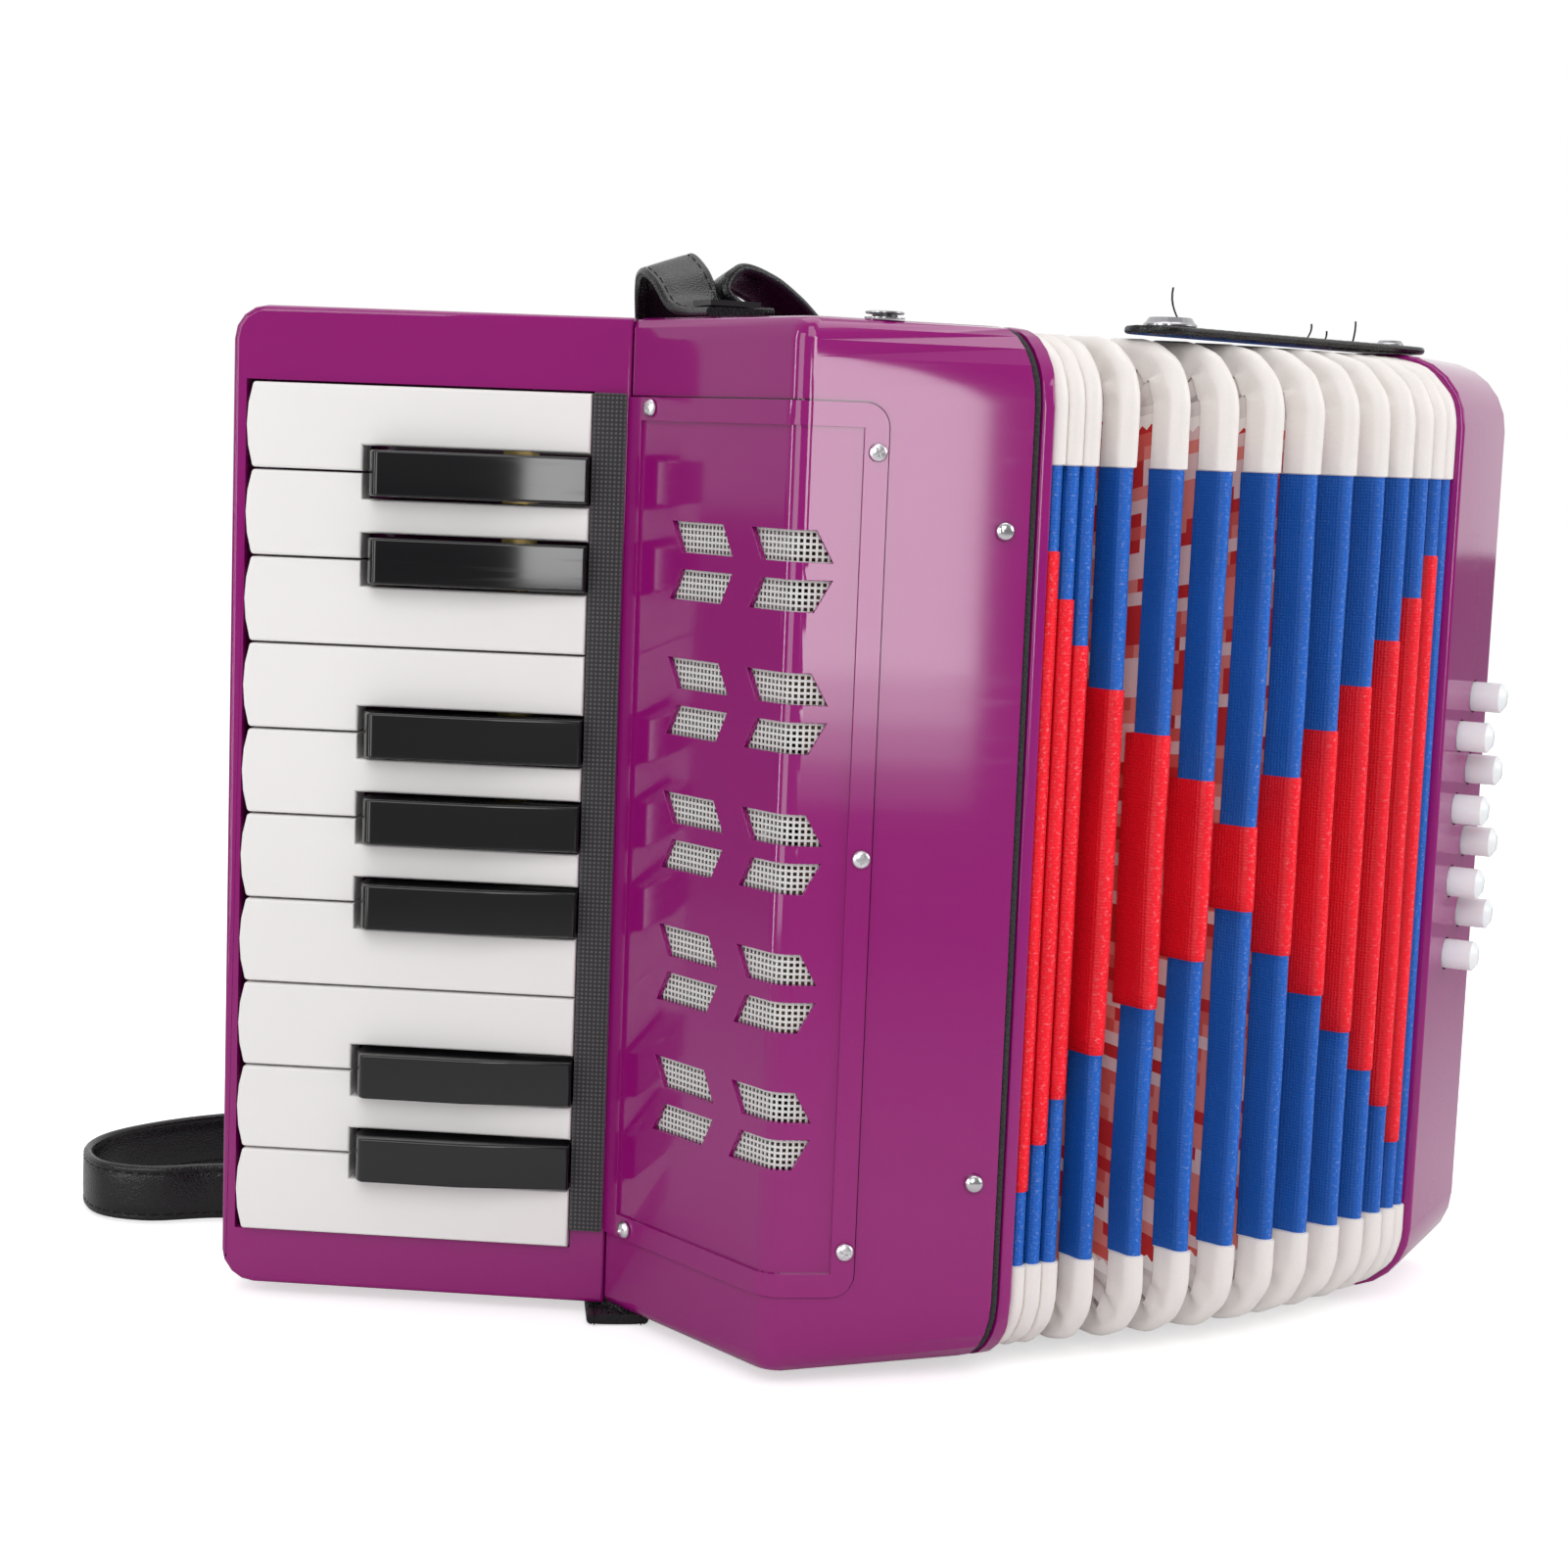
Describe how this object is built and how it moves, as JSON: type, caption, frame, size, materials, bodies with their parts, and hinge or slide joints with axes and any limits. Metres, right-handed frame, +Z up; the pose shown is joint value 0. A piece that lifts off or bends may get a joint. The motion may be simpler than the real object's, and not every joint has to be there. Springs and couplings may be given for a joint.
{
  "type": "piano accordion",
  "caption": "Small piano accordion standing upright: keyboard on a faceted case, pleated bellows fanned open, bass case with buttons, leatherette straps.",
  "frame": {"origin": "on the floor, under the middle of the bounding box of the part at rest", "axes": "+Z up; +X along the bellows from the treble side to the bass side; +Y from the front to the player's side"},
  "size_m": [0.3042, 0.2272, 0.2393],
  "materials": {
    "purple_plastic": "glossy moulded purple",
    "white_key_plastic": "glossy white",
    "black_key_plastic": "glossy black",
    "button_plastic": "milky white",
    "woven_mesh": "open woven white cloth",
    "black_felt": "non-woven, dotted",
    "foam": "matt foam strip",
    "bellows_cloth": "pleated card with blue and red tapes, white corners and printed panels",
    "strap_leatherette": "black grained leatherette",
    "steel": "drawn rod",
    "spring_brass": "rolled strip",
    "inner_wood": "unfinished",
    "screw_chrome": "bright"
  },
  "bodies": {
    "treble_side": {"treble_case": "purple_plastic", "keyboard_housing": "purple_plastic", "grille_cover": "purple_plastic", "grille_mesh": "woven_mesh", "key_felt": "black_felt", "key_axle": "steel", "key_spring_comb": "spring_brass", "treble_soundboard": "inner_wood", "treble_reed_block": "inner_wood", "treble_gasket": "foam", "treble_bellows_frame": "purple_plastic", "bellows_shut_folds": "bellows_cloth", "shoulder_strap": "strap_leatherette", "strap_anchor_top": "screw_chrome", "snap_stud": "screw_chrome", "grille_screw_1": "screw_chrome", "grille_screw_2": "screw_chrome", "grille_screw_3": "screw_chrome", "grille_screw_4": "screw_chrome", "grille_screw_5": "screw_chrome", "case_pin_1": "screw_chrome", "case_pin_2": "screw_chrome", "case_pin_3": "screw_chrome", "case_pin_4": "screw_chrome"},
    "bellows_middle": {"bellows_fan_folds": "bellows_cloth"},
    "bass_side": {"bass_case": "purple_plastic", "bass_bellows_frame": "inner_wood", "bass_soundboard": "inner_wood", "bass_reed_block": "inner_wood", "bass_spring_comb": "spring_brass", "hand_strap": "strap_leatherette"},
    "bellows_strap_body": {"bellows_strap": "strap_leatherette", "strap_rivet": "screw_chrome", "snap_cap": "screw_chrome"},
    "white_key_1": {"white_key_1": "white_key_plastic"},
    "white_key_2": {"white_key_2": "white_key_plastic"},
    "white_key_3": {"white_key_3": "white_key_plastic"},
    "white_key_4": {"white_key_4": "white_key_plastic"},
    "white_key_5": {"white_key_5": "white_key_plastic"},
    "white_key_6": {"white_key_6": "white_key_plastic"},
    "white_key_7": {"white_key_7": "white_key_plastic"},
    "white_key_8": {"white_key_8": "white_key_plastic"},
    "white_key_9": {"white_key_9": "white_key_plastic"},
    "white_key_10": {"white_key_10": "white_key_plastic"},
    "black_key_1": {"black_key_1": "black_key_plastic"},
    "black_key_2": {"black_key_2": "black_key_plastic"},
    "black_key_3": {"black_key_3": "black_key_plastic"},
    "black_key_4": {"black_key_4": "black_key_plastic"},
    "black_key_5": {"black_key_5": "black_key_plastic"},
    "black_key_6": {"black_key_6": "black_key_plastic"},
    "black_key_7": {"black_key_7": "black_key_plastic"},
    "bass_button_1": {"bass_button_1": "button_plastic"},
    "bass_button_2": {"bass_button_2": "button_plastic"},
    "bass_button_3": {"bass_button_3": "button_plastic"},
    "bass_button_4": {"bass_button_4": "button_plastic"},
    "bass_button_5": {"bass_button_5": "button_plastic"},
    "bass_button_6": {"bass_button_6": "button_plastic"},
    "bass_button_7": {"bass_button_7": "button_plastic"},
    "bass_button_8": {"bass_button_8": "button_plastic"}
  },
  "joints": [
    {"name": "bellows_draw", "type": "slide", "parent": "treble_side", "child": "bellows_middle", "axis": [1, 0, 0], "range_m": [0, 0.06], "deforming": ["bellows_shut_folds"]},
    {"name": "bellows_fan", "type": "hinge", "parent": "bellows_middle", "child": "bass_side", "pos_m": [0.0579, 0.0128, 0.113], "axis": [0, 0, 1], "range_deg": [-36.2, 10], "deforming": ["bellows_fan_folds"]},
    {"name": "bellows_strap_swivel", "type": "hinge", "parent": "bass_side", "child": "bellows_strap_body", "pos_m": [0.1099, -0.0796, 0.2241], "axis": [0, 0, 1], "range_deg": [0, 22.6]},
    {"name": "white_key_1_press", "type": "hinge", "parent": "treble_side", "child": "white_key_1", "pos_m": [-0.0628, -0.031, 0.0255], "axis": [0, 0, -1], "range_deg": [0, 2.8], "stiffness_Nm_per_rad": 0.35, "springref_deg": -3.44, "deforming": ["key_spring_comb"]},
    {"name": "white_key_2_press", "type": "hinge", "parent": "treble_side", "child": "white_key_2", "pos_m": [-0.0628, -0.031, 0.0446], "axis": [0, 0, -1], "range_deg": [0, 2.8], "stiffness_Nm_per_rad": 0.35, "springref_deg": -3.44, "deforming": ["key_spring_comb"]},
    {"name": "white_key_3_press", "type": "hinge", "parent": "treble_side", "child": "white_key_3", "pos_m": [-0.0628, -0.031, 0.0636], "axis": [0, 0, -1], "range_deg": [0, 2.8], "stiffness_Nm_per_rad": 0.35, "springref_deg": -3.44, "deforming": ["key_spring_comb"]},
    {"name": "white_key_4_press", "type": "hinge", "parent": "treble_side", "child": "white_key_4", "pos_m": [-0.0628, -0.031, 0.0827], "axis": [0, 0, -1], "range_deg": [0, 2.8], "stiffness_Nm_per_rad": 0.35, "springref_deg": -3.44, "deforming": ["key_spring_comb"]},
    {"name": "white_key_5_press", "type": "hinge", "parent": "treble_side", "child": "white_key_5", "pos_m": [-0.0628, -0.031, 0.1018], "axis": [0, 0, -1], "range_deg": [0, 2.8], "stiffness_Nm_per_rad": 0.35, "springref_deg": -3.44, "deforming": ["key_spring_comb"]},
    {"name": "white_key_6_press", "type": "hinge", "parent": "treble_side", "child": "white_key_6", "pos_m": [-0.0628, -0.031, 0.1208], "axis": [0, 0, -1], "range_deg": [0, 2.8], "stiffness_Nm_per_rad": 0.35, "springref_deg": -3.44, "deforming": ["key_spring_comb"]},
    {"name": "white_key_7_press", "type": "hinge", "parent": "treble_side", "child": "white_key_7", "pos_m": [-0.0628, -0.031, 0.1399], "axis": [0, 0, -1], "range_deg": [0, 2.8], "stiffness_Nm_per_rad": 0.35, "springref_deg": -3.44, "deforming": ["key_spring_comb"]},
    {"name": "white_key_8_press", "type": "hinge", "parent": "treble_side", "child": "white_key_8", "pos_m": [-0.0628, -0.031, 0.1589], "axis": [0, 0, -1], "range_deg": [0, 2.8], "stiffness_Nm_per_rad": 0.35, "springref_deg": -3.44, "deforming": ["key_spring_comb"]},
    {"name": "white_key_9_press", "type": "hinge", "parent": "treble_side", "child": "white_key_9", "pos_m": [-0.0628, -0.031, 0.178], "axis": [0, 0, -1], "range_deg": [0, 2.8], "stiffness_Nm_per_rad": 0.35, "springref_deg": -3.44, "deforming": ["key_spring_comb"]},
    {"name": "white_key_10_press", "type": "hinge", "parent": "treble_side", "child": "white_key_10", "pos_m": [-0.0628, -0.031, 0.1971], "axis": [0, 0, -1], "range_deg": [0, 2.8], "stiffness_Nm_per_rad": 0.35, "springref_deg": -3.44, "deforming": ["key_spring_comb"]},
    {"name": "black_key_1_press", "type": "hinge", "parent": "treble_side", "child": "black_key_1", "pos_m": [-0.0628, -0.031, 0.0351], "axis": [0, 0, -1], "range_deg": [0, 2.8], "stiffness_Nm_per_rad": 0.35, "springref_deg": -3.44, "deforming": ["key_spring_comb"]},
    {"name": "black_key_2_press", "type": "hinge", "parent": "treble_side", "child": "black_key_2", "pos_m": [-0.0628, -0.031, 0.0541], "axis": [0, 0, -1], "range_deg": [0, 2.8], "stiffness_Nm_per_rad": 0.35, "springref_deg": -3.44, "deforming": ["key_spring_comb"]},
    {"name": "black_key_3_press", "type": "hinge", "parent": "treble_side", "child": "black_key_3", "pos_m": [-0.0628, -0.031, 0.0922], "axis": [0, 0, -1], "range_deg": [0, 2.8], "stiffness_Nm_per_rad": 0.35, "springref_deg": -3.44, "deforming": ["key_spring_comb"]},
    {"name": "black_key_4_press", "type": "hinge", "parent": "treble_side", "child": "black_key_4", "pos_m": [-0.0628, -0.031, 0.1113], "axis": [0, 0, -1], "range_deg": [0, 2.8], "stiffness_Nm_per_rad": 0.35, "springref_deg": -3.44, "deforming": ["key_spring_comb"]},
    {"name": "black_key_5_press", "type": "hinge", "parent": "treble_side", "child": "black_key_5", "pos_m": [-0.0628, -0.031, 0.1304], "axis": [0, 0, -1], "range_deg": [0, 2.8], "stiffness_Nm_per_rad": 0.35, "springref_deg": -3.44, "deforming": ["key_spring_comb"]},
    {"name": "black_key_6_press", "type": "hinge", "parent": "treble_side", "child": "black_key_6", "pos_m": [-0.0628, -0.031, 0.1685], "axis": [0, 0, -1], "range_deg": [0, 2.8], "stiffness_Nm_per_rad": 0.35, "springref_deg": -3.44, "deforming": ["key_spring_comb"]},
    {"name": "black_key_7_press", "type": "hinge", "parent": "treble_side", "child": "black_key_7", "pos_m": [-0.0628, -0.031, 0.1875], "axis": [0, 0, -1], "range_deg": [0, 2.8], "stiffness_Nm_per_rad": 0.35, "springref_deg": -3.44, "deforming": ["key_spring_comb"]},
    {"name": "bass_button_1_press", "type": "slide", "parent": "bass_side", "child": "bass_button_1", "axis": [-0.5906, 0.807, 0], "range_m": [0, 0.0035], "stiffness_N_per_m": 120, "springref_m": -0.004, "deforming": ["bass_spring_comb"]},
    {"name": "bass_button_2_press", "type": "slide", "parent": "bass_side", "child": "bass_button_2", "axis": [-0.5906, 0.807, 0], "range_m": [0, 0.0035], "stiffness_N_per_m": 120, "springref_m": -0.004, "deforming": ["bass_spring_comb"]},
    {"name": "bass_button_3_press", "type": "slide", "parent": "bass_side", "child": "bass_button_3", "axis": [-0.5906, 0.807, 0], "range_m": [0, 0.0035], "stiffness_N_per_m": 120, "springref_m": -0.004, "deforming": ["bass_spring_comb"]},
    {"name": "bass_button_4_press", "type": "slide", "parent": "bass_side", "child": "bass_button_4", "axis": [-0.5906, 0.807, 0], "range_m": [0, 0.0035], "stiffness_N_per_m": 120, "springref_m": -0.004, "deforming": ["bass_spring_comb"]},
    {"name": "bass_button_5_press", "type": "slide", "parent": "bass_side", "child": "bass_button_5", "axis": [-0.5906, 0.807, 0], "range_m": [0, 0.0035], "stiffness_N_per_m": 120, "springref_m": -0.004, "deforming": ["bass_spring_comb"]},
    {"name": "bass_button_6_press", "type": "slide", "parent": "bass_side", "child": "bass_button_6", "axis": [-0.5906, 0.807, 0], "range_m": [0, 0.0035], "stiffness_N_per_m": 120, "springref_m": -0.004, "deforming": ["bass_spring_comb"]},
    {"name": "bass_button_7_press", "type": "slide", "parent": "bass_side", "child": "bass_button_7", "axis": [-0.5906, 0.807, 0], "range_m": [0, 0.0035], "stiffness_N_per_m": 120, "springref_m": -0.004, "deforming": ["bass_spring_comb"]},
    {"name": "bass_button_8_press", "type": "slide", "parent": "bass_side", "child": "bass_button_8", "axis": [-0.5906, 0.807, 0], "range_m": [0, 0.0035], "stiffness_N_per_m": 120, "springref_m": -0.004, "deforming": ["bass_spring_comb"]}
  ]
}
